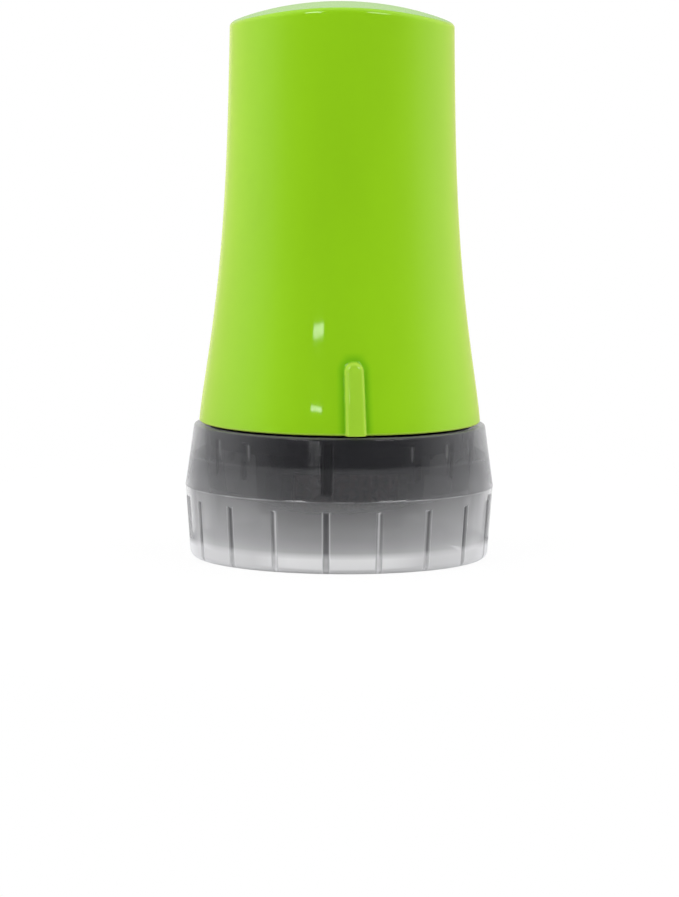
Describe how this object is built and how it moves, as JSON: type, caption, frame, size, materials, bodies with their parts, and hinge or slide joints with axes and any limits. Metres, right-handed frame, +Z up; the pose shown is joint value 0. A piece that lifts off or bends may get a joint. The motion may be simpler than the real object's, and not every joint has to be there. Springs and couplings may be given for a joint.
{
  "type": "privacy roller stamp",
  "caption": "Bell-shaped roller stamp with arched top, anti-roll rib, smoked push-on cap and slide-out ink cartridge whose stamping wheel and ink roller turn together.",
  "frame": {"origin": "middle of the cap's foot, on the surface that the stamp stands on", "axes": "+Z up through the crown of the case, -Y towards the front with the anti-roll rib, X along the stamping wheel's axle"},
  "size_m": [0.038, 0.038, 0.0683],
  "materials": {
    "lime_plastic": "glossy opaque lime green",
    "smoked_plastic": "clear smoked grey, polished",
    "black_plastic": "fine matt black",
    "grey_plastic": "matt grey",
    "white_acetal": "waxy white",
    "band_rubber": "matt brick-red rubber",
    "rim_rubber": "matt black rubber",
    "bright_steel": "bright drawn",
    "inked_foam": "ink-soaked foam"
  },
  "bodies": {
    "case": {"case_shell": "lime_plastic", "chassis_socket": "grey_plastic"},
    "cartridge": {"cartridge_frame": "black_plastic", "cartridge_cover": "black_plastic", "axle_bush_left": "white_acetal", "axle_bush_right": "white_acetal", "ink_spring_left": "bright_steel", "ink_spring_right": "bright_steel"},
    "cap": {"cap": "smoked_plastic"},
    "stamp_wheel": {"wheel_hub": "white_acetal", "stamp_band": "band_rubber", "drive_rim_left": "rim_rubber", "drive_rim_right": "rim_rubber", "stamp_axle": "bright_steel"},
    "ink_yoke": {"ink_yoke": "grey_plastic"},
    "ink_roller": {"ink_core": "white_acetal", "ink_sleeve": "inked_foam", "ink_disc_left": "white_acetal", "ink_disc_right": "white_acetal", "ink_axle": "bright_steel"}
  },
  "joints": [
    {"name": "cartridge_slide", "type": "slide", "parent": "case", "child": "cartridge", "axis": [0, 0, -1], "range_m": [0, 0.028]},
    {"name": "cap_slide", "type": "slide", "parent": "cartridge", "child": "cap", "axis": [0, 0, -1], "range_m": [0, 0.018]},
    {"name": "stamp_wheel_spin", "type": "hinge", "parent": "cartridge", "child": "stamp_wheel", "pos_m": [0, 0, 0.0127], "axis": [1, 0, 0], "continuous": true},
    {"name": "ink_yoke_float", "type": "slide", "parent": "cartridge", "child": "ink_yoke", "axis": [0, 0, 1], "range_m": [0, 0.0012], "stiffness_N_per_m": 60, "springref_m": -0.003, "deforming": ["ink_spring_left", "ink_spring_right"]},
    {"name": "ink_roller_spin", "type": "hinge", "parent": "ink_yoke", "child": "ink_roller", "pos_m": [0, 0, 0.0281], "axis": [1, 0, 0], "continuous": true}
  ],
  "couplings": [
    {"joint": "ink_roller_spin", "follows": "stamp_wheel_spin", "ratio": -1.6035}
  ]
}
